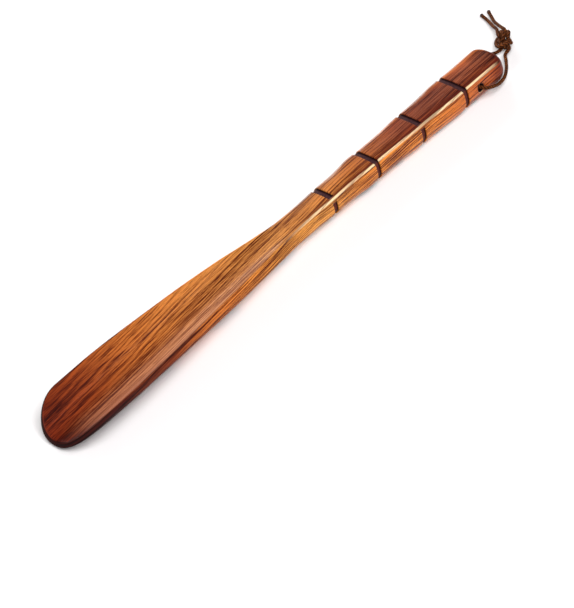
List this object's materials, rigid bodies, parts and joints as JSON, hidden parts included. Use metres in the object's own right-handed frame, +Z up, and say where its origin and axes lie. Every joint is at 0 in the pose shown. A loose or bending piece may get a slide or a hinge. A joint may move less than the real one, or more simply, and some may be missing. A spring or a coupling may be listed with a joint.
{
  "type": "long shoehorn",
  "caption": "Long wooden shoehorn: a hollowed blade, a slim neck and a notched handle, with a thin knotted hanging cord through a cross hole near the handle's end.",
  "frame": {"origin": "on the surface the horn lies on, under the centre of the horn's own box", "axes": "+X from the blade's tip to the handle's end, +Z up out of the blade's hollow, Y across"},
  "size_m": [0.422, 0.053, 0.0174],
  "materials": {
    "hardwood": "streaked red-brown hardwood under clear gloss lacquer",
    "cord": "thin twisted cord, waxed",
    "cord_end": "heat-sealed cord end"
  },
  "bodies": {
    "horn": {"horn_body": "hardwood"},
    "cord": {"cord_loop": "cord", "cord_knot": "cord", "cord_tail_near": "cord", "cord_tail_far": "cord", "cord_tip_near": "cord_end", "cord_tip_far": "cord_end"}
  },
  "joints": [
    {"name": "cord_swing", "type": "hinge", "parent": "horn", "child": "cord", "pos_m": [0.1643, 0, 0.0088], "axis": [0, -1, 0], "range_deg": [0, 160]}
  ]
}
